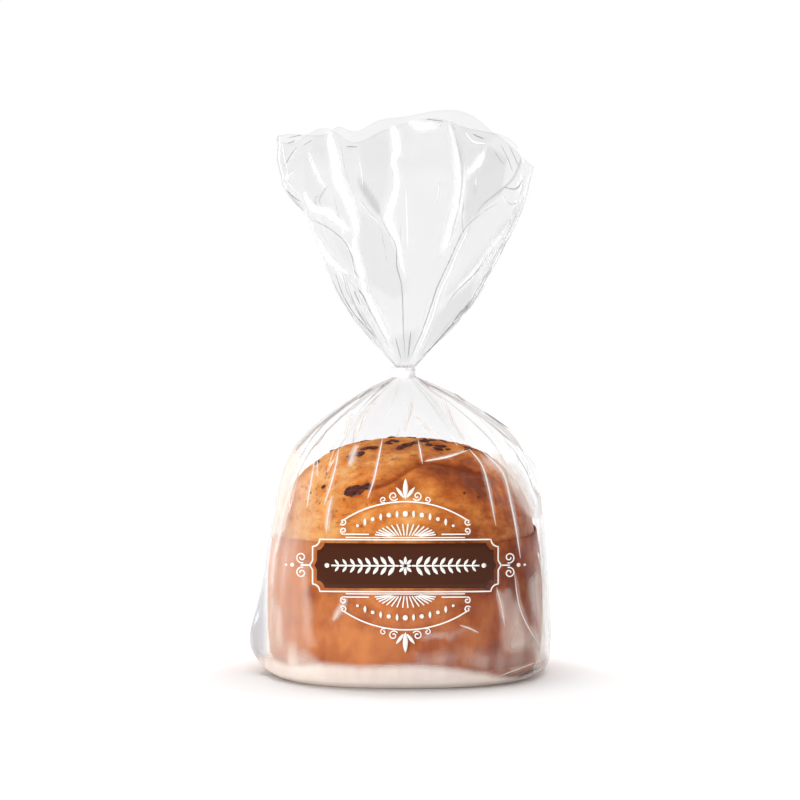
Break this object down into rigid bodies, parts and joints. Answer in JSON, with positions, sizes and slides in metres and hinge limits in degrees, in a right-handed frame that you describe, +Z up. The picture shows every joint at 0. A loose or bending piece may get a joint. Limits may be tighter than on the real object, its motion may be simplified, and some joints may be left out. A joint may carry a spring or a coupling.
{
  "type": "bagged panettone",
  "caption": "Domed sweet loaf in a clear film bag, gathered and taped at the neck, its open mouth flaring above.",
  "frame": {"origin": "middle of the flat base that the bag stands on", "axes": "+Z up along the bag's axis to its mouth, -Y out of the printed front, +X to the right of the front"},
  "size_m": [0.1705, 0.1592, 0.3096],
  "materials": {
    "film": "gloss",
    "tie_tape": "satin",
    "crust": "satin",
    "chocolate": "matte",
    "baking_case": "matte",
    "print_brown": "satin",
    "print_white": "satin"
  },
  "bodies": {
    "root": {"bag": "film", "tie": "tie_tape"}
  },
  "joints": []
}
